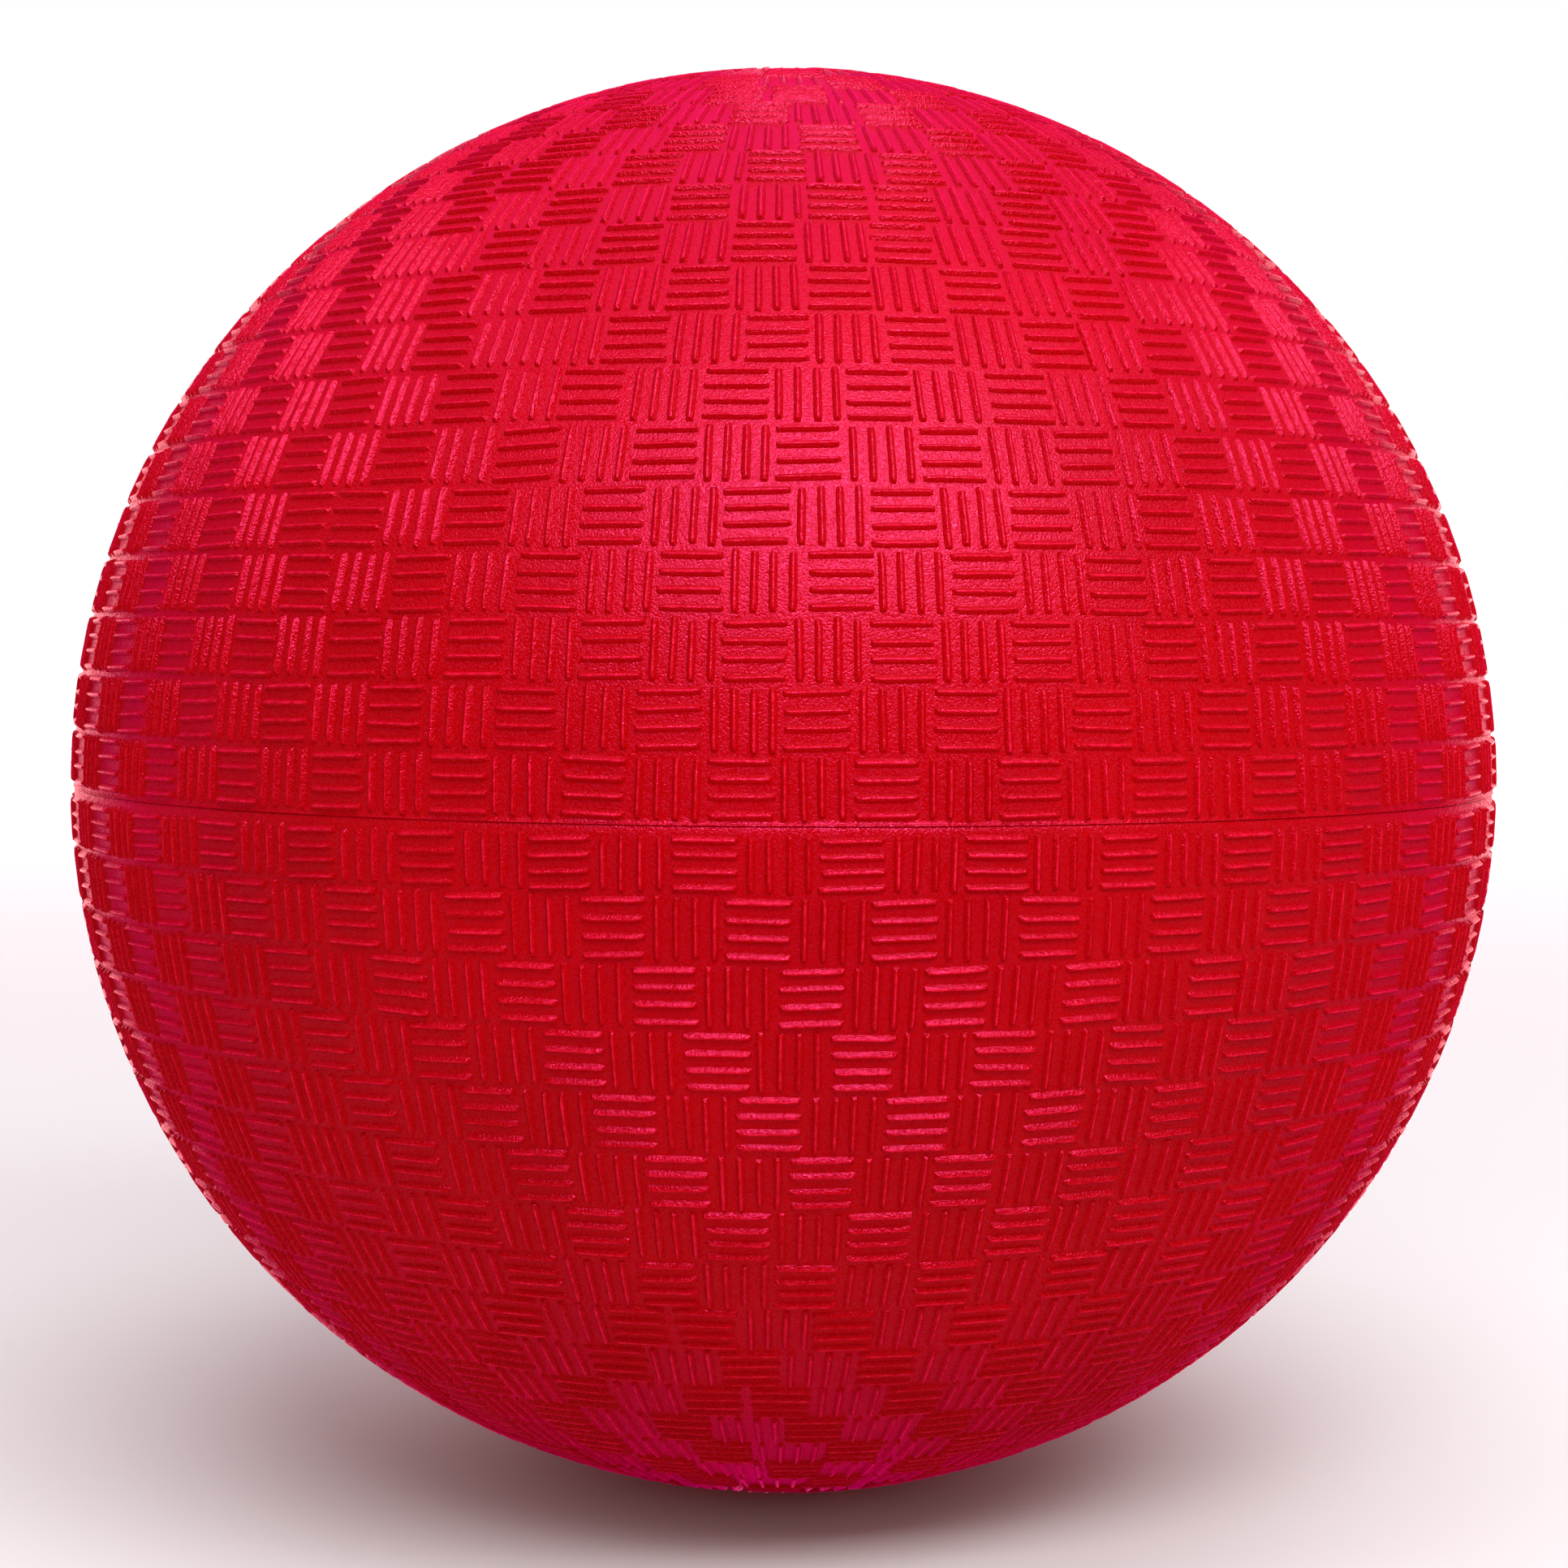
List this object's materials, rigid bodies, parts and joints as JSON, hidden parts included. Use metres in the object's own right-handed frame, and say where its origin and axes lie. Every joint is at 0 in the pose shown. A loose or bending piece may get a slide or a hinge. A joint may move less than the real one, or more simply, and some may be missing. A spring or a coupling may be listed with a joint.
{
  "type": "playground ball",
  "caption": "Inflatable rubber playground ball: basket-weave grip in rings of ribbed tiles, parting bead at the equator, and a needle valve in a smooth disc at one pole.",
  "frame": {"origin": "centre of the ball", "axes": "+Z from the centre out through the valve, square to the parting plane of the cover, which is z = 0; +X and +Y lie in that plane"},
  "size_m": [0.216, 0.216, 0.2152],
  "materials": {
    "cover_rubber": "satin",
    "nylon_thread": "matt, cemented thread",
    "butyl_rubber": "matt",
    "valve_rubber": "satin"
  },
  "bodies": {
    "root": {"cover_upper": "cover_rubber", "cover_lower": "cover_rubber", "nylon_winding": "nylon_thread", "bladder": "butyl_rubber", "valve_patch": "butyl_rubber", "valve_housing": "butyl_rubber", "valve_plug": "valve_rubber"}
  },
  "joints": []
}
